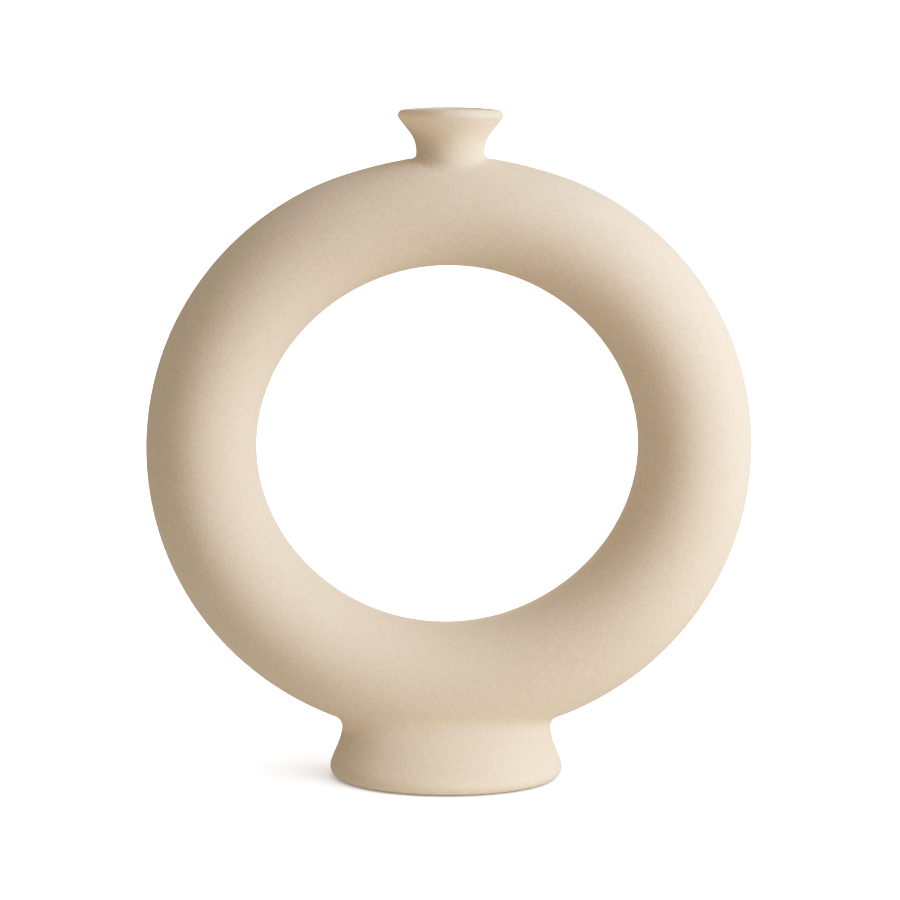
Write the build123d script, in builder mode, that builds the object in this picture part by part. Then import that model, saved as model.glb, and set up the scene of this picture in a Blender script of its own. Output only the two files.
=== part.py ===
# Donut vase: a hollow upright ring on a flared oval foot, with a short trumpet neck on top.
# The ring is two half-shells luted together on the upright plane through its middle. The neck
# and the foot are formed apart and luted to short stubs on the ring.
# Millimetres, +Z up, the front faces -Y, origin on the floor below the middle of the foot.
import os
from math import asin, atan, cos, pi, radians, sin, sqrt, tan

from build123d import *

os.makedirs("parts", exist_ok=True)

# Ring: a slightly oval centreline in the XZ plane, carrying a round tube
ring_long_radius = 95.1
ring_short_radius = 91.2
ring_lean = 5.6  # degrees that the oval's long axis rises to the right
tube_radius = 21.7
tube_low_swell = 0.85  # the tube is this much fatter at the bottom and thinner at the top
tube_right_swell = 0.33  # and this much fatter on the right and thinner on the left
ring_wall = 5.5
ring_section_count = 16
belly_height = 16.15  # lowest point of the ring above the floor

# Slip between the luted pieces
seam_thickness = 0.6

# Neck: a straight stub on the ring, then a flare to a lip that is rounded all round
neck_waist_radius = 12.85
neck_wall = 5.0
neck_rise = 18.0  # rim above the top of the ring
neck_flare_radius = 8.5
neck_flare_angle = 34.0
neck_fillet = 1.7
neck_land = 0.2  # straight stub left between the fillet and the joint

# Foot: oval sections that spread towards the floor
foot_waist_width = 81.6
foot_waist_depth = 34.4
foot_width_flare = 5.1  # on each side, from the waist to the floor
foot_depth_flare = 18.2
foot_wall = 8.0
foot_fillet = 5.2
foot_land = 0.9  # straight stub left between the fillet and the joint
foot_inner_edge_radius = 1.0
foot_stand_width = 1.0  # flat land left on the floor at the front and back
foot_edge_share = 0.94  # most of the foot's upright edge that its rounding may take
# Levels of the sections against the height of the belly, and how much of the flare each has
foot_level_shares = (0, 0.276, 0.551, 0.863, 1.198, 1.598)
foot_width_flare_shares = (1, 0.94, 0.65, 0.25, 0, 0)
foot_depth_flare_shares = (1, 0.91, 0.72, 0.51, 0.28, 0.02)

# Places that follow from the sizes
lean = radians(ring_lean)
ring_rise = 1 / sqrt((sin(lean) / ring_long_radius) ** 2 + (cos(lean) / ring_short_radius) ** 2)
tube_low_height = belly_height + tube_radius + tube_low_swell
ring_centre_height = tube_low_height + ring_rise
tube_top_height = ring_centre_height + ring_rise
ring_top = tube_top_height + tube_radius - tube_low_swell
ring_top_curve = ring_long_radius**2 / ring_short_radius + tube_radius
neck_side_drop = ring_top_curve - sqrt(ring_top_curve**2 - neck_waist_radius**2)
neck_joint_height = ring_top - neck_side_drop + neck_fillet + neck_land
neck_base = neck_joint_height + seam_thickness
neck_bore_radius = neck_waist_radius - neck_wall
rim_height = ring_top + neck_rise
ring_half_width = ring_long_radius + tube_radius
ring_half_height = ring_centre_height - belly_height
tube_low_radius = tube_radius + tube_low_swell
foot_side = asin(foot_waist_width / 2 / ring_half_width)
foot_side_corner = ring_centre_height - ring_half_height * cos(foot_side)
foot_side_fillet = foot_fillet * tan(pi / 4 - foot_side / 2)
foot_front = asin(foot_waist_depth / 2 / tube_low_radius)
foot_front_corner = tube_low_height - tube_low_radius * cos(foot_front)
foot_front_fillet = foot_fillet * tan(pi / 4 - foot_front / 2)
foot_fillet_end = min(foot_side_corner - foot_side_fillet, foot_front_corner - foot_front_fillet)
foot_neck_level = belly_height * foot_level_shares[4]  # a joint above it would meet the belly
foot_joint_height = min(foot_fillet_end - foot_land, foot_neck_level)
foot_top = foot_joint_height - seam_thickness
foot_edge_flare = foot_depth_flare * (foot_depth_flare_shares[0] - foot_depth_flare_shares[1])
foot_edge_height = belly_height * foot_level_shares[1]
foot_edge_lean = atan(foot_edge_flare / foot_edge_height)
foot_edge_room = foot_wall - foot_inner_edge_radius - foot_stand_width
foot_wall_radius = foot_edge_room * tan(pi / 4 - foot_edge_lean / 2)
foot_outer_edge_radius = min(foot_wall_radius, foot_edge_height * foot_edge_share)


def ring_sections(inset):
    """Circles across the tube all the way round the ring, back to the first one."""
    sections = []
    for step in range(ring_section_count):
        turn = 2 * pi * step / ring_section_count
        along = ring_long_radius * cos(turn)
        across = ring_short_radius * sin(turn)
        x = along * cos(lean) - across * sin(lean)
        z = along * sin(lean) + across * cos(lean)
        run_along = -ring_long_radius * sin(turn)
        run_across = ring_short_radius * cos(turn)
        heading = (
            run_along * cos(lean) - run_across * sin(lean),
            0,
            run_along * sin(lean) + run_across * cos(lean),
        )
        swell = tube_right_swell * x / ring_long_radius - tube_low_swell * z / ring_short_radius
        across_tube = Plane(
            origin=(x, 0, ring_centre_height + z),
            x_dir=(heading[2], 0, -heading[0]),
            z_dir=heading,
        )
        with BuildSketch(across_tube, mode=Mode.PRIVATE) as section:
            Circle(tube_radius + swell - inset)
        sections.append(section.sketch.face())
    sections.append(sections[0])
    return sections


def foot_sections(inset):
    """Ovals of the foot from the floor up to the middle of the tube."""
    levels = [share * belly_height for share in foot_level_shares]
    levels.append(tube_low_height)
    sections = []
    for level, widen, deepen in zip(
        levels, foot_width_flare_shares + (0,), foot_depth_flare_shares + (0,)
    ):
        with BuildSketch(Plane.XY.offset(level), mode=Mode.PRIVATE) as section:
            Ellipse(
                foot_waist_width / 2 + widen * foot_width_flare - inset,
                foot_waist_depth / 2 + deepen * foot_depth_flare - inset,
            )
        sections.append(section.sketch.face())
    return sections


# Ring as a solid tube, and the cavity inside it
with BuildPart() as ring_blank:
    loft(ring_sections(0))

with BuildPart() as ring_cavity:
    loft(ring_sections(ring_wall))

# Foot from the floor to the middle of the tube, hollow all the way up
with BuildPart() as foot_blank:
    loft(foot_sections(0))
    loft(foot_sections(foot_wall), mode=Mode.SUBTRACT)

with BuildPart() as foot_stub:
    add(foot_blank.part)
    split(bisect_by=Plane.XY.offset(foot_joint_height), keep=Keep.TOP)

# Whole ring with both stubs, before it is parted into halves
with BuildPart() as ring_body:
    add(ring_blank.part)
    with BuildSketch(Plane.XY.offset(tube_top_height)):
        Circle(neck_waist_radius)
    extrude(amount=neck_joint_height - tube_top_height)
    fillet(ring_body.edges(Select.NEW).filter_by(GeomType.BSPLINE), radius=neck_fillet)
    add(foot_stub.part)
    foot_corner = ring_body.edges(Select.NEW).group_by(SortBy.LENGTH)[-1]
    fillet(foot_corner, radius=foot_fillet)
    add(ring_cavity.part, mode=Mode.SUBTRACT)
    with BuildSketch(Plane.XY.offset(tube_top_height)):
        Circle(neck_bore_radius)
    extrude(amount=neck_joint_height - tube_top_height, mode=Mode.SUBTRACT)

# The halves are mirror images, with room for the joining slip between them
with BuildPart() as ring_front_half:
    add(ring_body.part)
    split(bisect_by=Plane.XZ.offset(seam_thickness / 2), keep=Keep.TOP)

with BuildPart() as ring_back_half:
    mirror(ring_front_half.part, about=Plane.XZ)

# Slip bands fill the gap between the rims of the two halves
rims = ring_front_half.faces().filter_by(Axis.Y).sort_by(SortBy.AREA)

with BuildPart() as ring_inner_seam:
    extrude(rims[0], amount=seam_thickness)

with BuildPart() as ring_outer_seam:
    extrude(rims[-1], amount=seam_thickness)

# Neck: one wall of even thickness, turned round the Z axis
flare = radians(neck_flare_angle)
lip_radius = neck_wall / 2
flare_centre = neck_waist_radius + neck_flare_radius
flare_end_height = neck_joint_height + neck_flare_radius * sin(flare)
slope_height = rim_height - lip_radius - lip_radius * sin(flare) - flare_end_height
outer_flare_end = flare_centre - neck_flare_radius * cos(flare)
outer_slope_end = outer_flare_end + slope_height * tan(flare)
lip_centre = outer_slope_end - lip_radius * cos(flare)

with BuildPart() as neck_blank:
    with BuildSketch(Plane.XZ):
        with BuildLine():
            base = Line((neck_bore_radius, neck_joint_height), (neck_waist_radius, neck_joint_height))
            outer_flare = CenterArc(
                (flare_centre, neck_joint_height), neck_flare_radius, 180, -neck_flare_angle
            )
            outer_slope = Line(outer_flare @ 1, (outer_slope_end, flare_end_height + slope_height))
            lip = CenterArc(
                (lip_centre, rim_height - lip_radius), lip_radius, -neck_flare_angle, 180
            )
            inner_flare = CenterArc(
                (flare_centre, neck_joint_height),
                neck_flare_radius + neck_wall,
                180,
                -neck_flare_angle,
            )
            Line(lip @ 1, inner_flare @ 1)
        make_face()
    revolve(axis=Axis.Z)

with BuildPart() as neck:
    add(neck_blank.part)
    split(bisect_by=Plane.XY.offset(neck_base), keep=Keep.TOP)

with BuildPart() as neck_seam:
    add(neck_blank.part)
    split(bisect_by=Plane.XY.offset(neck_base), keep=Keep.BOTTOM)

# Foot and its slip, parted from the same blank as the stub above them
with BuildPart() as foot_seam:
    add(foot_blank.part)
    split(bisect_by=Plane.XY.offset(foot_joint_height), keep=Keep.BOTTOM)
    split(bisect_by=Plane.XY.offset(foot_top), keep=Keep.TOP)

with BuildPart() as foot:
    add(foot_blank.part)
    split(bisect_by=Plane.XY.offset(foot_top), keep=Keep.BOTTOM)
    floor_edges = foot.faces().sort_by(Axis.Z)[0].edges().sort_by(SortBy.LENGTH)
    fillet(floor_edges[0], radius=foot_inner_edge_radius)
    floor_edges = foot.faces().sort_by(Axis.Z)[0].edges().sort_by(SortBy.LENGTH)
    fillet(floor_edges[-1], radius=foot_outer_edge_radius)

ring_front_half.part.label = "ring_front_half"
ring_back_half.part.label = "ring_back_half"
ring_outer_seam.part.label = "ring_outer_seam"
ring_inner_seam.part.label = "ring_inner_seam"
neck.part.label = "neck"
neck_seam.part.label = "neck_seam"
foot.part.label = "foot"
foot_seam.part.label = "foot_seam"

export_step(ring_front_half.part, "parts/ring_front_half.step")
export_step(ring_back_half.part, "parts/ring_back_half.step")
export_step(ring_outer_seam.part, "parts/ring_outer_seam.step")
export_step(ring_inner_seam.part, "parts/ring_inner_seam.step")
export_step(neck.part, "parts/neck.step")
export_step(neck_seam.part, "parts/neck_seam.step")
export_step(foot.part, "parts/foot.step")
export_step(foot_seam.part, "parts/foot_seam.step")
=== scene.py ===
# Donut vase in unglazed stoneware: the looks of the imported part, in its own frame.
# The sections follow the way the vase is put together: the ring halves, the slip between
# them, the neck and the foot. Sizes are in millimetres until a mesh is made.
import math
import bmesh
import bpy
import numpy as np
from mathutils import Matrix, Vector
from mathutils.geometry import tessellate_polygon


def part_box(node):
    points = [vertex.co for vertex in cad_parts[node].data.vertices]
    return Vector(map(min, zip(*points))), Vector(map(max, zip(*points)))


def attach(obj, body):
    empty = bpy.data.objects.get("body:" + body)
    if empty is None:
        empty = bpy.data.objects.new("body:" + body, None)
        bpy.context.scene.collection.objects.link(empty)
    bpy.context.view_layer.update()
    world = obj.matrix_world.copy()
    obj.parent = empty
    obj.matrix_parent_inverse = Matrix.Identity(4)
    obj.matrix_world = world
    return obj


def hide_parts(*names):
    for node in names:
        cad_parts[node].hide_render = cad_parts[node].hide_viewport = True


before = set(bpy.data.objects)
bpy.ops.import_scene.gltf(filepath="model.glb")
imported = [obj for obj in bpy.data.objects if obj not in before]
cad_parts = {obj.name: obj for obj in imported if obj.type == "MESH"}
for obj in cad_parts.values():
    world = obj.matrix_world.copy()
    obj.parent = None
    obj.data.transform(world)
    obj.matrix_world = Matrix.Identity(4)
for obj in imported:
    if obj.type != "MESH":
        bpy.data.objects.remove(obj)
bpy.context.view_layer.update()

# Ring halves: two shells of pressed stoneware clay with a C-shaped section, luted rim to rim.
# Each has half of the stub that carries the neck and half of the stub that stands on the foot.
# The wet joints were sponged over, so the skin runs on from piece to piece without a step.
MM = 0.001
ring_long, ring_short = 95.1, 91.2
ring_lean = math.radians(5.6)
tube_radius, tube_low_swell, tube_right_swell, shoulder_swell = 21.7, 0.85, 0.33, 0.45
ring_wall, belly_height, slip_width = 5.5, 16.15, 0.6
neck_shift, neck_waist, neck_bore = 0.25, 13.05, 8.05
neck_side_fillet, neck_front_fillet = 1.8, 6.0
foot_half_width, foot_half_depth = 40.8, 17.2
foot_width_flare, foot_depth_flare = 5.1, 18.2
foot_wall, foot_fillet = 8.0, 5.2
foot_levels = np.array((0, 0.276, 0.551, 0.863, 1.198, 1.598, 2.396)) * belly_height
foot_width_shares = (1, 0.94, 0.65, 0.25, 0, 0, 0)
foot_depth_shares = (1, 0.91, 0.72, 0.51, 0.28, 0.02, 0)
neck_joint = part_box("neck_seam")[0].z / MM
rim_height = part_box("neck")[1].z / MM
foot_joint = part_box("foot_seam")[1].z / MM
ring_rise = 1 / math.hypot(math.sin(ring_lean) / ring_long, math.cos(ring_lean) / ring_short)
ring_centre = belly_height + tube_radius + tube_low_swell + ring_rise
top_turn = math.atan2(ring_long * math.cos(ring_lean), ring_short * math.sin(ring_lean))
rim_angle = math.asin(slip_width / 2 / tube_radius)
path_steps, half_steps = 240, 64
round_steps = 2 * half_steps + 2


def node(tree, kind, links=None, **settings):
    """Adds a node with its settings, and links or sets its inputs."""
    made = tree.nodes.new(kind)
    for name, value in settings.items():
        setattr(made, name, value)
    for key, source in (links or {}).items():
        if isinstance(source, bpy.types.NodeSocket):
            tree.links.new(source, made.inputs[key])
        else:
            made.inputs[key].default_value = source
    return made


def linear(hexcode):
    """Linear RGBA of an sRGB hex colour."""
    channels = [int(hexcode[i:i + 2], 16) / 255 for i in (1, 3, 5)]
    return [c / 12.92 if c <= 0.04045 else ((c + 0.055) / 1.055) ** 2.4 for c in channels] + [1.0]


def stoneware(name, pale, body, grit_mm, grit_depth_mm):
    """Stoneware fired once and left without glaze: dry, chalky and matt, with no glint anywhere.
    Its sand shows as pale and dark grains and a fine tooth, the mixed clay as faint clouds, and
    the last millimetre above the floor is darkened as painted contact shade. Object coordinates, in
    metres."""
    cloud_mm, tooth_mm = 22, 3.4
    cloud_share, grit_share, tone_shift, tooth_share = 0.45, 2.0, -0.725, 0.9
    # Painted contact shade: the colour darkens within about a millimetre of the floor, for the shadow
    # under the foot's edge.
    contact_shade_full_mm, contact_shade_clear_mm, contact_shade_factor = 0.5, 1.3, 0.35
    material = bpy.data.materials.new(name)
    material.use_nodes = True
    tree = material.node_tree
    tree.nodes.clear()
    place = node(tree, "ShaderNodeTexCoord").outputs["Object"]
    cloud = node(tree, "ShaderNodeTexNoise", {
        "Vector": place, "Scale": 1 / (cloud_mm * MM), "Detail": 3.0, "Roughness": 0.55})
    grit = node(tree, "ShaderNodeTexNoise", {
        "Vector": place, "Scale": 1 / (grit_mm * MM), "Detail": 2.0, "Roughness": 0.6})
    tooth = node(tree, "ShaderNodeTexNoise", {
        "Vector": place, "Scale": 1 / (tooth_mm * MM), "Detail": 2.0, "Roughness": 0.5})
    mottle = node(tree, "ShaderNodeMath", {
        0: cloud.outputs["Fac"], 1: cloud_share, 2: tone_shift}, operation="MULTIPLY_ADD")
    speckle = node(tree, "ShaderNodeMath", {
        0: grit.outputs["Fac"], 1: grit_share, 2: mottle.outputs[0]}, operation="MULTIPLY_ADD")
    colour_a, colour_b, colour_out = 6, 7, 2  # the sockets of a Mix node that hold colours
    tone = node(tree, "ShaderNodeMix", {
        0: speckle.outputs[0], colour_a: linear(body), colour_b: linear(pale)}, data_type="RGBA")
    height = node(tree, "ShaderNodeSeparateXYZ", {0: place}).outputs["Z"]
    # Painted shade: the colour gets darker towards the floor and stands in for the contact shadow under
    # the foot's rounded edge.
    painted_contact_shade = node(tree, "ShaderNodeMapRange", {
        "Value": height, "From Min": contact_shade_full_mm * MM, "From Max": contact_shade_clear_mm * MM,
        "To Min": contact_shade_factor, "To Max": 1.0})
    tone = node(tree, "ShaderNodeVectorMath", {
        0: tone.outputs[colour_out], "Scale": painted_contact_shade.outputs[0]}, operation="SCALE")
    relief = node(tree, "ShaderNodeMath", {
        0: tooth.outputs["Fac"], 1: tooth_share, 2: grit.outputs["Fac"]}, operation="MULTIPLY_ADD")
    bump = node(tree, "ShaderNodeBump", {
        "Strength": 1.0, "Distance": grit_depth_mm * MM, "Height": relief.outputs[0]})
    shader = node(tree, "ShaderNodeBsdfPrincipled", {
        "Base Color": tone.outputs[0], "Roughness": 0.92, "IOR": 1.5,
        "Specular IOR Level": 0.3, "Normal": bump.outputs[0]})
    node(tree, "ShaderNodeOutputMaterial", {"Surface": shader.outputs["BSDF"]})
    return material


# The sand in such clay is about 0.3 mm, too fine to show in the picture, so it is drawn coarser.
pale_clay, body_clay, grit_mm = "#EBD9BF", "#DDC7AA", 1.1
bisque_clay = stoneware("bisque_stoneware", pale_clay, body_clay, grit_mm, grit_depth_mm=0.075)


def swept_tube(radius, name):
    """Round section swept along the ring's oval path by Geometry Nodes: points in millimetres,
    by step along the path and step round the tube, from the outer rim over the front."""
    tree = bpy.data.node_groups.new(name, "GeometryNodeTree")
    row_count = half_steps + 1
    sizes = {
        "Long Radius": ring_long * MM, "Short Radius": ring_short * MM, "Lean": ring_lean,
        "Centre Height": ring_centre * MM, "Top Turn": top_turn, "Tube Radius": radius * MM,
        "Right Swell": tube_right_swell * MM, "Top Swell": -tube_low_swell * MM,
        "Corner Swell": 4 * shoulder_swell * MM, "Rim Angle": rim_angle,
        "Row Angle": (math.pi - 2 * rim_angle) / half_steps, "Half Turn Share": math.pi / row_count}
    counts = {"Path Steps": path_steps, "Round Steps": round_steps, "Row Count": row_count}
    for label in sizes:
        tree.interface.new_socket(label, in_out="INPUT", socket_type="NodeSocketFloat")
    for label in counts:
        tree.interface.new_socket(label, in_out="INPUT", socket_type="NodeSocketInt")
    tree.interface.new_socket("Clay", in_out="INPUT", socket_type="NodeSocketMaterial")
    tree.interface.new_socket("Geometry", in_out="OUTPUT", socket_type="NodeSocketGeometry")
    given = node(tree, "NodeGroupInput").outputs

    # Oval path in a flat plane, starting where the neck stands
    loop = node(tree, "GeometryNodeCurvePrimitiveCircle", {"Resolution": given["Path Steps"]})
    start = node(tree, "ShaderNodeCombineXYZ", {"Z": given["Top Turn"]})
    oval = node(tree, "ShaderNodeCombineXYZ", {
        "X": given["Long Radius"], "Y": given["Short Radius"], "Z": 1.0})
    lean = node(tree, "ShaderNodeCombineXYZ", {"Z": given["Lean"]})
    path = node(tree, "GeometryNodeTransform", {
        "Geometry": loop.outputs[0], "Rotation": start.outputs[0]})
    path = node(tree, "GeometryNodeTransform", {
        "Geometry": path.outputs[0], "Rotation": lean.outputs[0], "Scale": oval.outputs[0]})
    path = node(tree, "GeometryNodeSetCurveNormal", {"Curve": path.outputs[0]}, mode="Z_UP")

    # Round section with a narrow band left for the slip at the outer and the inner rim
    index = node(tree, "GeometryNodeInputIndex").outputs[0]
    column = node(tree, "ShaderNodeMath", {0: index, 1: given["Row Count"]}, operation="MODULO")
    behind = node(tree, "ShaderNodeMath", {0: index, 1: given["Row Count"]}, operation="SNAP")
    around = node(tree, "ShaderNodeMath", {
        0: column.outputs[0], 1: given["Row Angle"], 2: given["Rim Angle"]}, operation="MULTIPLY_ADD")
    around = node(tree, "ShaderNodeMath", {
        0: behind.outputs[0], 1: given["Half Turn Share"], 2: around.outputs[0]},
        operation="MULTIPLY_ADD")
    edge = node(tree, "ShaderNodeVectorRotate", {
        "Vector": (1, 0, 0), "Axis": (0, 0, -1), "Angle": around.outputs[0]})
    circle = node(tree, "GeometryNodeCurvePrimitiveCircle", {"Resolution": given["Round Steps"]})
    section = node(tree, "GeometryNodeSetPosition", {
        "Geometry": circle.outputs[0], "Position": edge.outputs[0]})

    # The tube is a little fatter below and on the right, and at the four shoulders between
    place = node(tree, "GeometryNodeInputPosition").outputs[0]
    shares = node(tree, "ShaderNodeVectorMath", {0: place, 1: oval.outputs[0]}, operation="DIVIDE")
    right_share, up_share, _ = node(tree, "ShaderNodeSeparateXYZ", {0: shares.outputs[0]}).outputs
    corner = node(tree, "ShaderNodeMath", {0: right_share, 1: up_share}, operation="MULTIPLY")
    corner = node(tree, "ShaderNodeMath", {
        0: corner.outputs[0], 1: corner.outputs[0]}, operation="MULTIPLY")
    girth = node(tree, "ShaderNodeMath", {
        0: right_share, 1: given["Right Swell"], 2: given["Tube Radius"]}, operation="MULTIPLY_ADD")
    girth = node(tree, "ShaderNodeMath", {
        0: up_share, 1: given["Top Swell"], 2: girth.outputs[0]}, operation="MULTIPLY_ADD")
    girth = node(tree, "ShaderNodeMath", {
        0: corner.outputs[0], 1: given["Corner Swell"], 2: girth.outputs[0]}, operation="MULTIPLY_ADD")
    tube = node(tree, "GeometryNodeCurveToMesh", {
        "Curve": path.outputs[0], "Profile Curve": section.outputs[0], "Scale": girth.outputs[0]})
    stand = node(tree, "ShaderNodeCombineXYZ", {"Z": given["Centre Height"]})
    upright = node(tree, "GeometryNodeTransform", {
        "Geometry": tube.outputs[0], "Translation": stand.outputs[0], "Rotation": (math.pi / 2, 0, 0)})
    whole = node(tree, "GeometryNodeRealizeInstances", {"Geometry": upright.outputs[0]})
    clay = node(tree, "GeometryNodeSetMaterial", {
        "Geometry": whole.outputs[0], "Material": given["Clay"]})
    node(tree, "NodeGroupOutput", {"Geometry": clay.outputs[0]})

    blank = bpy.data.objects.new(name, bpy.data.meshes.new(name))
    bpy.context.scene.collection.objects.link(blank)
    modifier = blank.modifiers.new("sweep", "NODES")
    modifier.node_group = tree
    for item in tree.interface.items_tree:
        if item.in_out == "INPUT":
            modifier[item.identifier] = {**sizes, **counts, "Clay": bisque_clay}[item.name]
    depsgraph = bpy.context.evaluated_depsgraph_get()
    mesh = bpy.data.meshes.new_from_object(blank.evaluated_get(depsgraph))
    points = np.zeros(len(mesh.vertices) * 3)
    mesh.vertices.foreach_get("co", points)
    bpy.data.objects.remove(blank)
    bpy.data.meshes.remove(mesh)
    return points.reshape(path_steps, round_steps, 3) / MM


def ring_path(turn):
    """Centre, outward direction and tube radius where the path has turned that far."""
    lean_cos, lean_sin = math.cos(ring_lean), math.sin(ring_lean)
    along, across = ring_long * np.cos(turn), ring_short * np.sin(turn)
    x, z = along * lean_cos - across * lean_sin, along * lean_sin + across * lean_cos
    out_along, out_across = np.cos(turn) / ring_long, np.sin(turn) / ring_short
    length = np.hypot(out_along, out_across)
    out_along, out_across = out_along / length, out_across / length
    out_x = out_along * lean_cos - out_across * lean_sin
    out_z = out_along * lean_sin + out_across * lean_cos
    radius = (tube_radius + tube_right_swell * x / ring_long - tube_low_swell * z / ring_short
              + shoulder_swell * 4 * (x / ring_long * z / ring_short)**2)
    return x, ring_centre + z, out_x, out_z, radius


def on_tube(turn, around, inset=0.0):
    """Point of the tube's skin, or of the cavity's when inset by the wall."""
    x, z, out_x, out_z, radius = ring_path(turn)
    out = (radius - inset) * np.cos(around)
    return np.stack([x + out * out_x, -(radius - inset) * np.sin(around), z + out * out_z], -1)


def tube_place(points, near_turn):
    """Turn along the path, angle round the tube and distance off its skin of any points."""
    lean_cos, lean_sin = math.cos(ring_lean), math.sin(ring_lean)
    x, y, z = points[..., 0], points[..., 1], points[..., 2] - ring_centre
    along, across = x * lean_cos + z * lean_sin, -x * lean_sin + z * lean_cos
    turn = np.arctan2(across / ring_short, along / ring_long)
    newton_steps = 8
    for _ in range(newton_steps):
        miss = ((ring_short**2 - ring_long**2) * np.sin(turn) * np.cos(turn)
                + ring_long * along * np.sin(turn) - ring_short * across * np.cos(turn))
        slope = ((ring_short**2 - ring_long**2) * np.cos(2 * turn)
                 + ring_long * along * np.cos(turn) + ring_short * across * np.sin(turn))
        turn = turn - miss / slope
    turn = near_turn + (turn - near_turn + math.pi) % (2 * math.pi) - math.pi
    centre_x, centre_z, out_x, out_z, radius = ring_path(turn)
    out = (x - centre_x) * out_x + (z + ring_centre - centre_z) * out_z
    return turn, np.arctan2(-y, out), np.hypot(out, y) - radius


def spline(levels, values):
    """Smooth curve through the values at the levels."""
    gaps, values = np.diff(levels), np.array(values, float)
    matrix, load = np.eye(len(levels)), np.zeros(len(levels))
    for i in range(1, len(levels) - 1):
        matrix[i, i - 1:i + 2] = gaps[i - 1], 2 * (gaps[i - 1] + gaps[i]), gaps[i]
        load[i] = 6 * ((values[i + 1] - values[i]) / gaps[i] - (values[i] - values[i - 1]) / gaps[i - 1])
    bend = np.linalg.solve(matrix, load)

    def value(level):
        i = np.clip(np.searchsorted(levels, level) - 1, 0, len(gaps) - 1)
        low, high = level - levels[i], levels[i + 1] - level
        return ((bend[i] * high**3 + bend[i + 1] * low**3) / (6 * gaps[i])
                + (values[i] / gaps[i] - bend[i] * gaps[i] / 6) * high
                + (values[i + 1] / gaps[i] - bend[i + 1] * gaps[i] / 6) * low)
    return value


foot_width_share = spline(foot_levels, foot_width_shares)
foot_depth_share = spline(foot_levels, foot_depth_shares)


def foot_side(turn, level, inset=0.0):
    """Point of the foot's oval side at that level, or of its hollow when inset by the wall."""
    level = np.broadcast_to(level, np.shape(turn))
    width = foot_half_width + foot_width_flare * foot_width_share(level) - inset
    depth = foot_half_depth + foot_depth_flare * foot_depth_share(level) - inset
    return np.stack([width * np.cos(turn), depth * np.sin(turn), level], -1)


def facing(side, turn, level):
    """Outward direction of a side that is given by turn and level."""
    step = 1e-3
    round_it = side(turn + step, level) - side(turn - step, level)
    up_it = side(turn, level + step) - side(turn, level - step)
    out = np.cross(round_it, up_it)
    return out / np.linalg.norm(out, axis=-1, keepdims=True)


def meet(far, near, beyond):
    """Level on each line, between far and near, where beyond() turns negative."""
    far, near = np.array(far, float), np.array(near, float)
    halvings = 50
    for _ in range(halvings):
        middle = (far + near) / 2
        clear = beyond(middle) > 0
        far, near = np.where(clear, middle, far), np.where(clear, near, middle)
    return (far + near) / 2


def rolled_fillet(side, turn, far, near, radius, near_turn, steps):
    """Fillet of a ball rolled along the corner of a side and the tube: the place on the tube
    where it starts, its rows of points down to the side, and the level where it ends there."""
    radius = np.broadcast_to(radius, turn.shape)[:, None]

    def ball(level):
        return side(turn, level) + radius * facing(side, turn, level)
    level = meet(np.full(turn.shape, far), np.full(turn.shape, near),
                 lambda at: tube_place(ball(at), near_turn)[2] - radius[:, 0])
    middle = ball(level)
    tube_turn, tube_around, _ = tube_place(middle, near_turn)
    start = (on_tube(tube_turn, tube_around) - middle) / radius
    end = (side(turn, level) - middle) / radius
    swing = np.arccos(np.clip((start * end).sum(-1), -1, 1))[:, None]
    rows = [middle + radius * (np.sin((1 - f) * swing) * start + np.sin(f * swing) * end)
            / np.sin(swing) for f in np.linspace(0, 1, steps + 1)]
    return tube_turn, tube_around, rows, level


def hand_pressed(points, normals):
    """Shallow unevenness of a hand-finished skin, always inwards, with none on the floor, along
    the joints and on top of the lip. A wider hollow lies on the ring beside the neck."""
    waves = (((0.061, 0.043, -0.052), 0.4), ((-0.038, 0.072, 0.066), 2.1),
             ((0.112, -0.05, 0.094), 1.2), ((-0.09, 0.11, -0.121), 5.0))
    least, swing = 0.02, 0.013
    hollow_depth, hollow_radius, hollow_width = 0.35, 34, 15
    hollow_level, hollow_rise = 214, 22
    stub_radius, fade = 15, 5
    depth = least + sum(swing * (1 + np.sin(points @ np.array(k) + phase)) for k, phase in waves)
    level, off_axis = points[:, 2], np.hypot(points[:, 0], points[:, 1])
    depth += (hollow_depth * np.exp(-((off_axis - hollow_radius) / hollow_width)**2)
              * np.clip((level - hollow_level) / hollow_rise, 0, 1)**2)
    neck_away = np.maximum(abs(level - neck_joint), off_axis - stub_radius)
    for away in (level, abs(level - foot_joint), neck_away, rim_height - level):
        away = np.clip(away / fade, 0, 1)
        depth = depth * away**2 * (3 - 2 * away)
    return points - normals * depth[:, None]


skin_points, skin_faces, skin_tags = [], [], []


def lay(points):
    """Adds points to the ring's skin and returns their numbers."""
    first = sum(len(p) for p in skin_points)
    skin_points.append(points.reshape(-1, 3))
    return first + np.arange(points.size // 3).reshape(points.shape[:-1])


def row_angle(row):
    """Angle round the tube of a row counted from the outer rim, 0 and up in front, -1 and down behind."""
    step = (math.pi - 2 * rim_angle) / half_steps
    return np.where(row >= 0, rim_angle + step * row, -rim_angle + step * (row + 1))


def opening(grid, middle, reach, depth):
    """Border of a patch of the tube that is left out for a stub: numbers, turns, angles and rows."""
    ends = [(reach, row) for row in range(-1 - depth, depth)]
    ends += [(step, depth) for step in range(reach, -reach, -1)]
    ends += [(-reach, row) for row in range(depth, -1 - depth, -1)]
    ends += [(step, -1 - depth) for step in range(-reach, reach)]
    step, row = np.array(ends).T
    numbers = grid[(middle + step) % path_steps, row % round_steps]
    return numbers, top_turn + 2 * math.pi * (middle + step) / path_steps, row_angle(row), row


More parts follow.
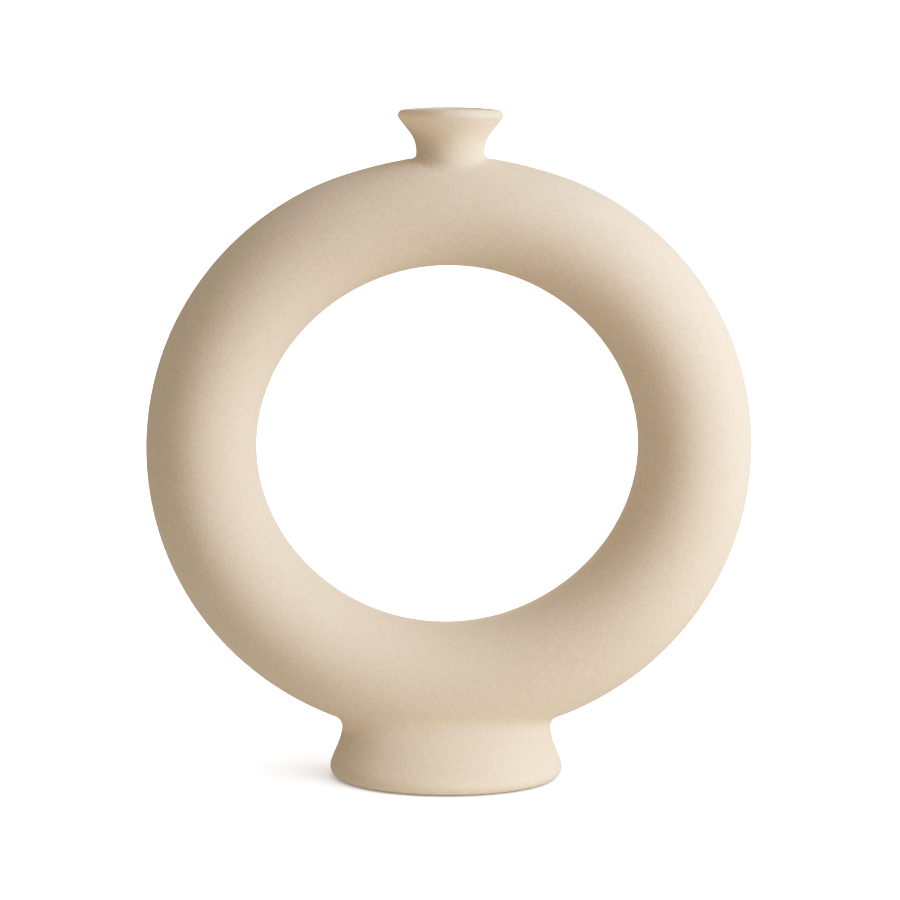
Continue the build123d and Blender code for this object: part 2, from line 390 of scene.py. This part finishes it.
def tube_cells(grid, openings):
    """Faces of the tube between its points, without the patches of the openings."""
    for step in range(path_steps):
        for row in range(round_steps):
            signed = row - round_steps if row > half_steps else row
            if any((step - middle + reach) % path_steps < 2 * reach and -1 - depth <= signed < depth
                   for middle, reach, depth in openings):
                continue
            after, above = (step + 1) % path_steps, (row + 1) % round_steps
            skin_faces.append((grid[step, row], grid[after, row], grid[after, above], grid[step, above]))
            skin_tags.append("front" if row < half_steps else "inner" if row == half_steps
                             else "outer" if row == round_steps - 1 else "back")


def band_cells(rows, tags):
    """Faces between rows of points that run round a stub."""
    for low, high in zip(rows, rows[1:]):
        for k in range(len(low)):
            after = (k + 1) % len(low)
            skin_faces.append((low[k], low[after], high[after], high[k]))
            skin_tags.append(tags[k])


outer_grid = lay(swept_tube(tube_radius, "ring_skin"))
inner_grid = lay(swept_tube(tube_radius - ring_wall, "ring_cavity"))
# Patches left out for the stubs: middle step of the path, steps each way and rows each way
neck_patch, foot_patch = (0, 9, 22), (path_steps // 2, 20, 28)
tube_cells(outer_grid, (neck_patch, foot_patch))
tube_cells(inner_grid, (neck_patch,))


def stub_turns(points, width, depth):
    """Angles round a stub for the points on an opening's border, evened out."""
    turn = np.unwrap(np.arctan2(points[:, 1] / depth, points[:, 0] / width))
    even = turn[0] + np.sign(turn[-1] - turn[0]) * 2 * math.pi * np.arange(len(turn)) / len(turn)
    return (turn + even + (turn - even).mean()) / 2


def on_rims(points, row):
    """Holds the points that lie along the slip on the rims of the two halves."""
    points[row == 0, 1] = -slip_width / 2
    points[row == -1, 1] = slip_width / 2
    return points


def between(start, end, steps):
    """Rows part of the way from one pair of values to another, without the first."""
    for f in np.arange(1, steps + 1) / steps:
        yield tuple(a + (b - a) * f for a, b in zip(start, end))


def stub_tags(row):
    """The piece that each face round a stub belongs to."""
    after = np.roll(row, -1)
    behind = np.where((row < 0) & (after < 0), "back", "outer")
    return np.where((row >= 0) & (after >= 0), "front", behind)


# Stub under the neck, with the bore through it into the cavity
sweep_points = np.concatenate(skin_points)
border, turns, arounds, row = opening(outer_grid, *neck_patch)
stub_turn = stub_turns(sweep_points[border], neck_waist, neck_waist)


def neck_round(radius, turn, level):
    """Points round the neck's axis."""
    level = np.broadcast_to(level, np.shape(turn))
    return np.stack([neck_shift + radius * np.cos(turn), radius * np.sin(turn), level], -1)


def neck_stub(turn, level):
    """Points of the stub's outside."""
    return neck_round(neck_waist, turn, level)


def neck_hole(turn, level):
    """Points of the bore."""
    return neck_round(neck_bore, turn, level)


reach_up, reach_down, bore_reach = 6, 12, 25
fillet_radius = neck_side_fillet + (neck_front_fillet - neck_side_fillet) * np.sin(stub_turn)**2
fillet_turn, fillet_around, fillet_rows, fillet_end = rolled_fillet(
    neck_stub, stub_turn, neck_joint + reach_up, neck_joint - reach_down,
    fillet_radius, top_turn, steps=10)
bore_end = meet(np.full(stub_turn.shape, neck_joint),
                np.full(stub_turn.shape, neck_joint - bore_reach),
                lambda at: tube_place(neck_hole(stub_turn, at), top_turn)[2] + ring_wall)
bore_turn, bore_around, _ = tube_place(neck_hole(stub_turn, bore_end), top_turn)
cavity_border, cavity_turns, cavity_arounds, _ = opening(inner_grid, *neck_patch)
rows = [on_tube(t, a) for t, a in between(
    (turns, arounds), (fillet_turn, fillet_around), steps=5)]
rows += fillet_rows[1:]
rows += [neck_stub(stub_turn, level) for level, in between(
    (fillet_end,), (np.float64(neck_joint),), steps=4)]
rows += [side for side, in between(
    (neck_stub(stub_turn, neck_joint),), (neck_hole(stub_turn, neck_joint),), steps=3)]
rows += [neck_hole(stub_turn, level) for level, in between(
    (np.float64(neck_joint),), (bore_end,), steps=5)]
rows += [on_tube(t, a, ring_wall) for t, a in between(
    (bore_turn, bore_around), (cavity_turns, cavity_arounds), steps=5)][:-1]
numbers = [lay(on_rims(points, row)) for points in rows]
band_cells([border] + numbers + [cavity_border], stub_tags(row))

# Stub above the foot, and the belly that closes the ring over the foot's hollow
low_turn = top_turn + math.pi
reach_up, reach_down, belly_rim_share = 16, 6, 0.6
border, turns, arounds, row = opening(outer_grid, *foot_patch)
stub_turn = stub_turns(sweep_points[border], foot_half_width, foot_half_depth)
fillet_turn, fillet_around, fillet_rows, fillet_end = rolled_fillet(
    foot_side, stub_turn, foot_joint - reach_down, foot_joint + reach_up,
    foot_fillet, low_turn, steps=12)


def foot_hollow(turn, level):
    """Points of the hollow inside the foot."""
    return foot_side(turn, level, foot_wall)


belly_level = meet(np.full(stub_turn.shape, foot_joint),
                   np.full(stub_turn.shape, foot_joint + reach_up),
                   lambda at: tube_place(foot_hollow(stub_turn, at), low_turn)[2])
belly_turn, belly_around, _ = tube_place(foot_hollow(stub_turn, belly_level), low_turn)
rows = [on_tube(t, a) for t, a in between(
    (turns, arounds), (fillet_turn, fillet_around), steps=6)]
rows += fillet_rows[1:]
rows += [foot_side(stub_turn, level) for level, in between(
    (fillet_end,), (np.float64(foot_joint),), steps=4)]
rows += [side for side, in between(
    (foot_side(stub_turn, foot_joint),), (foot_hollow(stub_turn, foot_joint),), steps=4)]
rows += [foot_hollow(stub_turn, level) for level, in between(
    (np.float64(foot_joint),), (belly_level,), steps=4)]
rim_turn = low_turn + belly_rim_share * (belly_turn - low_turn)
rim_around = np.where(row >= 0, rim_angle, -rim_angle)
rows += [on_tube(t, a) for t, a in between(
    (belly_turn, belly_around), (rim_turn, rim_around), steps=8)]
numbers = [lay(on_rims(points, row)) for points in rows]
band_cells([border] + numbers, stub_tags(row))
start = list(row).index(0)
front_edge = np.roll(numbers[-1], -start)[:len(row) // 2]
back_edge = np.roll(numbers[-1], -start)[:len(row) // 2 - 1:-1]
for k in range(len(front_edge) - 1):
    skin_faces.append((front_edge[k], front_edge[k + 1], back_edge[k + 1], back_edge[k]))
    skin_tags.append("outer")

# The whole skin at once, so that its shading runs on over the joints
crease_angle = math.radians(40)
skin = bmesh.new()
corners = [skin.verts.new(point) for point in np.concatenate(skin_points)]
for face in skin_faces:
    skin.faces.new([corners[i] for i in face])
bmesh.ops.recalc_face_normals(skin, faces=skin.faces)
skin.normal_update()
pressed = hand_pressed(np.array([c.co for c in corners]), np.array([c.normal for c in corners]))
for corner, point in zip(corners, pressed):
    corner.co = point
for face in skin.faces:
    face.smooth = True
whole = bpy.data.meshes.new("ring_whole")
skin.to_mesh(whole)
skin.free()
whole.set_sharp_from_angle(angle=crease_angle)
whole_faces = [tuple(face.vertices) for face in whole.polygons]
whole_normals = [[tuple(whole.corner_normals[i].vector) for i in face.loop_indices]
                 for face in whole.polygons]


def open_edges(faces):
    """Edges with a face on one side only, as the next corner of each corner."""
    sides = {(a, b) for face in faces for a, b in zip(face, face[1:] + face[:1])}
    return {a: b for a, b in sides if (b, a) not in sides}


def rim_faces(tag, row):
    """Flat rims of a half, which its slip lies on: round the outside, and round the hole."""
    clear_step = 30  # of the path, well away from both stubs
    edge = open_edges([face for face, of in zip(whole_faces, skin_tags) if of == tag])
    loop = [outer_grid[clear_step, 0 if row == half_steps else -1]]
    while len(loop) == 1 or loop[-1] != loop[0]:
        loop.append(edge[loop[-1]])
    outside = tessellate_polygon([[Vector(pressed[i]) for i in loop[:-1]]])
    ahead = np.roll(np.arange(path_steps), -1)
    hole = zip(outer_grid[:, row], outer_grid[ahead, row], inner_grid[ahead, row], inner_grid[:, row])
    return [tuple(loop[i] for i in face) for face in outside], list(hole)


def finish(mesh, name, material, slot):
    """Makes a mesh the piece that shows the part's solid of the same name."""
    mesh.materials.append(material)
    piece = bpy.data.objects.new(name + ("_slip" if slot == "joining_slip" else "_clay"), mesh)
    bpy.context.scene.collection.objects.link(piece)
    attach(piece, "root")
    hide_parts(name)
    return piece


def ring_piece(name, tag, rims, material, slot):
    """Piece of the ring: its share of the skin, closed by flat rims where the slip lies."""
    faces = [face for face, of in zip(whole_faces, skin_tags) if of == tag]
    normals = [normal for face, of in zip(whole_normals, skin_tags) if of == tag for normal in face]
    edge = open_edges(faces)
    for face in rims:
        flipped = any(edge.get(a) == b for a, b in zip(face, face[1:] + face[:1]))
        faces.append(face[::-1] if flipped else face)
    used = sorted({i for face in faces for i in face})
    place = dict(zip(used, range(len(used))))
    mesh = bpy.data.meshes.new(name)
    mesh.from_pydata(pressed[used] * MM, [], [[place[i] for i in face] for face in faces])
    mesh.shade_smooth()
    for face in mesh.polygons[len(faces) - len(rims):]:
        normals += [tuple(face.normal)] * face.loop_total
    mesh.normals_split_custom_set(normals)
    return finish(mesh, name, material, slot)


front_outside, front_hole = rim_faces("front", half_steps)
back_outside, back_hole = rim_faces("back", half_steps + 1)
ring_front = ring_piece(
    "ring_front_half", "front", front_outside + front_hole, bisque_clay, "bisque_clay")
ring_back = ring_piece(
    "ring_back_half", "back", back_outside + back_hole, bisque_clay, "bisque_clay")

# Joining slip between the ring halves: thin layers of the same clay, stirred to a cream with water.
# It was brushed on the scored rims, which were then pressed together. Sponged flush and fired with
# the clay, it can hardly be told from it: only its tooth is a trifle finer.
joining_slip = stoneware("joining_slip", pale_clay, body_clay, grit_mm, grit_depth_mm=0.065)
ring_outer = ring_piece(
    "ring_outer_seam", "outer", front_outside + back_outside, joining_slip, "joining_slip")
ring_piece("ring_inner_seam", "inner", front_hole + back_hole, joining_slip, "joining_slip")

# Neck: a short trumpet of the same clay, thrown on the wheel with an even wall and a rounded lip.
# It was luted to its stub with slip while both were leather-hard, which left the lip a little
# lower at the sides.
neck_wall, neck_flare, neck_flare_radius = 5.0, math.radians(37.5), 12.0
lip_dip, dip_start, dip_rise = 0.6, 4, 12
neck_sides = 144
neck_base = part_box("neck")[0].z / MM
lip_radius = neck_wall / 2
flare_middle = neck_waist + neck_flare_radius
flare_end = neck_joint + neck_flare_radius * math.sin(neck_flare)
slope_rise = rim_height - lip_radius * (1 + math.sin(neck_flare)) - flare_end
slope_start = flare_middle - neck_flare_radius * math.cos(neck_flare)
slope_end = slope_start + slope_rise * math.tan(neck_flare)
lip_middle = slope_end - lip_radius * math.cos(neck_flare)


def neck_profile(base, steps):
    """Radius and height of the neck's wall from its base outside, over the lip, to the inside."""
    outside, inside = neck_flare_radius, neck_flare_radius + neck_wall
    first = np.arcsin((base - neck_joint) / np.array((outside, inside)))
    climb = np.linspace(first[0], neck_flare, steps)
    drop = np.linspace(neck_flare, first[1], steps)
    round_lip = np.linspace(-neck_flare, math.pi - neck_flare, 2 * steps)
    outer = [(flare_middle - outside * math.cos(a), neck_joint + outside * math.sin(a))
             for a in climb]
    lip = [(lip_middle + lip_radius * math.cos(a), rim_height - lip_radius + lip_radius * math.sin(a))
           for a in round_lip]
    inner = [(flare_middle - inside * math.cos(a), neck_joint + inside * math.sin(a)) for a in drop]
    return np.array(outer + lip + inner)


def turned(name, rows, material, slot):
    """Closed piece from rows of points that run round it, each row joined to the next."""
    count = len(rows[0])
    points = np.concatenate(rows)
    faces = []
    for low in range(len(rows)):
        high = (low + 1) % len(rows)
        for k in range(count):
            after = (k + 1) % count
            faces.append((low * count + k, low * count + after, high * count + after, high * count + k))
    blank = bmesh.new()
    corners = [blank.verts.new(point) for point in points]
    for face in faces:
        blank.faces.new([corners[i] for i in face])
    bmesh.ops.recalc_face_normals(blank, faces=blank.faces)
    blank.normal_update()
    points = hand_pressed(points, np.array([c.normal for c in corners]))
    for corner, point in zip(corners, points):
        corner.co = Vector(point) * MM
    for face in blank.faces:
        face.smooth = True
    mesh = bpy.data.meshes.new(name)
    blank.to_mesh(mesh)
    blank.free()
    mesh.set_sharp_from_angle(angle=crease_angle)
    return finish(mesh, name, material, slot)


wheel = np.linspace(0, 2 * math.pi, neck_sides, endpoint=False)
neck_rows = []
for radius, height in neck_profile(neck_base, steps=14):
    rise = np.clip((height - neck_joint - dip_start) / dip_rise, 0, 1)
    dip = lip_dip * rise**2 * np.cos(wheel)**2
    neck_rows.append(neck_round(radius, wheel, height - dip))
neck = turned("neck", neck_rows, bisque_clay, "bisque_clay")

# Slip under the neck, a flat ring that carries the flare's curve on down to the stub
seam_rows = []
for inset, rise in ((0, 0), (0, slip_width / 2), (0, slip_width),
                    (neck_wall, slip_width), (neck_wall, 0)):
    bend = neck_flare_radius + inset
    radius = flare_middle - bend * math.cos(math.asin(rise / bend))
    seam_rows.append(neck_round(radius, wheel, neck_joint + rise))
turned("neck_seam", seam_rows, joining_slip, "joining_slip")

# Foot: an oval ring of the same clay that spreads to the front and back, so that the vase stands
# firmly. It was pressed apart and luted under the ring with slip. Its floor edge is rounded off
# with a sponge, and it is hollow underneath up to the belly of the ring.
foot_inner_edge, foot_stand_width, foot_edge_share = 1.0, 1.0, 0.94
foot_sides, edge_steps, edge_reach = 240, 9, 12.0
foot_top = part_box("foot")[1].z / MM
edge_lean = math.atan(foot_depth_flare * (1 - foot_depth_shares[1]) / foot_levels[1])
edge_room = foot_wall - foot_inner_edge - foot_stand_width
foot_edge = min(edge_room * math.tan(math.pi / 4 - edge_lean / 2), foot_edge_share * foot_levels[1])
wheel = np.linspace(0, 2 * math.pi, foot_sides, endpoint=False)


def floor_edge(side, radius, sign):
    """Ball in the corner of a side and the floor: the level where it leaves the side, and its rows."""
    def ball(level):
        return side(wheel, level) - sign * radius * facing(side, wheel, level)
    level = meet(np.full(wheel.shape, edge_reach), np.full(wheel.shape, 0.0),
                 lambda at: ball(at)[:, 2] - radius)
    middle = ball(level)
    start = (side(wheel, level) - middle) / radius
    end = np.array((0.0, 0.0, -1.0))
    swing = np.arccos(np.clip(start @ end, -1, 1))[:, None]
    rows = [middle + radius * (np.sin((1 - f) * swing) * start + np.sin(f * swing) * end)
            / np.sin(swing) for f in np.linspace(0, 1, edge_steps)]
    return level, rows


outer_level, outer_rows = floor_edge(foot_side, foot_edge, 1)
inner_level, inner_rows = floor_edge(foot_hollow, foot_inner_edge, -1)
full_top = np.full(wheel.shape, foot_top)
foot_rows = [foot_side(wheel, full_top)]
foot_rows += [foot_side(wheel, level) for level, in between(
    (full_top,), (outer_level,), steps=14)][:-1]
foot_rows += outer_rows
foot_rows += [land for land, in between((outer_rows[-1],), (inner_rows[-1],), steps=2)][:-1]
foot_rows += inner_rows[::-1]
foot_rows += [foot_hollow(wheel, level) for level, in between(
    (inner_level,), (full_top,), steps=10)]
turned("foot", foot_rows, bisque_clay, "bisque_clay")

# Slip on top of the foot
seam_rows = [foot_side(wheel, level) for level in (foot_joint, (foot_joint + foot_top) / 2, foot_top)]
seam_rows += [foot_hollow(wheel, level) for level in (foot_top, foot_joint)]
turned("foot_seam", seam_rows, joining_slip, "joining_slip")

# Floor: plain white paper, laid flat and bent up all round the vase like a bowl, in metres.
# It glows white further out and hardly at all close to the vase, where the lamps light it, so that
# it takes a soft shadow beside the foot.
flat_radius, bend_radius, wall_top = 1.6, 0.6, 2.6
bend_start, bend_steps, floor_sides = 0.1, 12, 96
glow_start, glow_end, least_glow, full_glow = 0.05, 0.30, 0.05, 1.3
paper = bpy.data.materials.new("white_paper")
paper.use_nodes = True
tree = paper.node_tree
tree.nodes.clear()
spot = node(tree, "ShaderNodeTexCoord").outputs["Object"]
away = node(tree, "ShaderNodeVectorMath", {0: spot}, operation="LENGTH").outputs["Value"]
glow = node(tree, "ShaderNodeMapRange", {
    "Value": away, "From Min": glow_start, "From Max": glow_end,
    "To Min": least_glow, "To Max": full_glow}).outputs[0]
sheet = node(tree, "ShaderNodeBsdfPrincipled", {
    "Base Color": linear("#F4F3F1"), "Roughness": 0.9, "Specular IOR Level": 0.1,
    "Emission Color": linear("#FFFFFF"), "Emission Strength": glow})
node(tree, "ShaderNodeOutputMaterial", {"Surface": sheet.outputs["BSDF"]})
bend = [(flat_radius, 0.0)]
bend += [(flat_radius + bend_radius * math.sin(a), bend_radius - bend_radius * math.cos(a))
         for a in np.linspace(bend_start, math.pi / 2, bend_steps)]
bend += [(flat_radius + bend_radius, wall_top)]
turns = np.linspace(0, 2 * math.pi, floor_sides, endpoint=False)
points = [(r * math.cos(t), r * math.sin(t), z) for r, z in bend for t in turns] + [(0, 0, 0)]
ahead = [(k + 1) % floor_sides for k in range(floor_sides)]
faces = [(k, ahead[k], len(points) - 1) for k in range(floor_sides)]
for low in range(0, floor_sides * (len(bend) - 1), floor_sides):
    high = low + floor_sides
    faces += [(low + k, high + k, high + ahead[k], low + ahead[k]) for k in range(floor_sides)]
sweep = bpy.data.meshes.new("floor_sweep")
sweep.from_pydata(points, [], faces)
sweep.shade_smooth()
sweep.materials.append(paper)
floor = bpy.data.objects.new("floor", sweep)
bpy.context.scene.collection.objects.link(floor)
floor.visible_diffuse, floor.visible_glossy, floor.visible_shadow = False, False, False


# Light: a tall cool window on the right, a warmer one nearer the front, a small one behind and a
# dim warm room. Small lamps give the light that the paper throws back: to the front of the foot,
# to the neck from the left and to the ring's lower sides. Those for the neck and the ring light
# that piece alone. Two broad lamps wash the paper alone, as its white needs more light.
def lamp(name, turn, rise, away, width, height, watts, colour, aim_height=0.13):
    """Soft lamp that faces the vase from a turn to the right of the front and a rise, in degrees,
    with its distance and its size in metres."""
    light = bpy.data.lights.new(name, "AREA")
    light.shape, light.size, light.size_y = "RECTANGLE", width, height
    light.energy, light.color = watts, linear(colour)[:3]
    stand = bpy.data.objects.new(name, light)
    bpy.context.scene.collection.objects.link(stand)
    stand.visible_camera = False
    aim = Vector((0, 0, aim_height))
    turn, rise = math.radians(turn), math.radians(rise)
    stand.location = aim + away * Vector((
        math.sin(turn) * math.cos(rise), -math.cos(turn) * math.cos(rise), math.sin(rise)))
    stand.rotation_euler = (aim - stand.location).to_track_quat("-Z", "Y").to_euler()
    return stand


lamp("window", turn=70, rise=23, away=0.85, width=0.5, height=0.95, watts=4.65, colour="#EAF0FF")
lamp("window_near", turn=56, rise=1, away=0.6, width=0.5, height=0.95, watts=1.55, colour="#FFE8D1")
lamp("floor_bounce", turn=8, rise=-20, away=0.075, width=0.11, height=0.016, watts=0.006,
     colour="#FFF1DF", aim_height=0.012)
neck_lit = bpy.data.collections.new("neck_lit")
neck_lit.objects.link(neck)
neck_bounce = lamp("neck_bounce", turn=-86, rise=-37, away=0.35, width=0.14, height=0.10, watts=0.32,
                   colour="#FFE6C6", aim_height=0.25)
neck_bounce.light_linking.receiver_collection = neck_lit
ring_lit = bpy.data.collections.new("ring_lit")
for piece in (ring_front, ring_back, ring_outer):
    ring_lit.objects.link(piece)
for name, turn, watts in (("ring_bounce_left", -85, 0.018), ("ring_bounce_right", 85, 0.011)):
    bounce = lamp(name, turn, rise=-28, away=0.2, width=0.14, height=0.14, watts=watts,
                  colour="#FFF0DC", aim_height=0.06)
    bounce.light_linking.receiver_collection = ring_lit
lamp("window_back", turn=176, rise=14, away=1.0, width=0.5, height=0.5, watts=3.0, colour="#FFF6EA")
washed = bpy.data.collections.new("washed")
washed.objects.link(floor)
for name, turn, watts in (("floor_wash_right", 80, 50.0), ("floor_wash_left", -80, 10.0)):
    wash = lamp(name, turn, rise=58, away=1.3, width=2.4, height=2.4, watts=watts, colour="#FFFFFF")
    wash.light_linking.receiver_collection = washed
room = bpy.data.worlds.new("room")
room.use_nodes = True
air = room.node_tree.nodes["Background"]
air.inputs["Color"].default_value = linear("#FFF0E0")
air.inputs["Strength"].default_value = 0.195
bpy.context.scene.world = room

# Camera: a long lens a metre off, a little above the rim and tilted down to the middle of the vase.
# The picture has a soft shoulder, as film has, that keeps the lit side from burning out.
camera_place, camera_tilt, camera_roll = (0.0008, -1.0, 0.2809), math.radians(90 - 8.63), 0.006
shoulder, shoulder_points = 2.0, (0.06, 0.15, 0.3, 0.5, 0.75)
view = bpy.data.cameras.new("camera")
view.sensor_width, view.lens = 36, 104.9
camera = bpy.data.objects.new("camera", view)
bpy.context.scene.collection.objects.link(camera)
camera.matrix_world = (Matrix.Translation(camera_place) @ Matrix.Rotation(camera_tilt, 4, "X")
                       @ Matrix.Rotation(camera_roll, 4, "Z"))
bpy.context.scene.camera = camera
picture = bpy.context.scene.view_settings
picture.view_transform, picture.look = "Standard", "None"
picture.use_curve_mapping = True
combined_curve = picture.curve_mapping.curves[3]  # after those of red, green and blue
for light_in in shoulder_points:
    light_out = light_in * (1 + shoulder) / (1 + shoulder * light_in)
    combined_curve.points.new(light_in, light_out)
picture.curve_mapping.update()
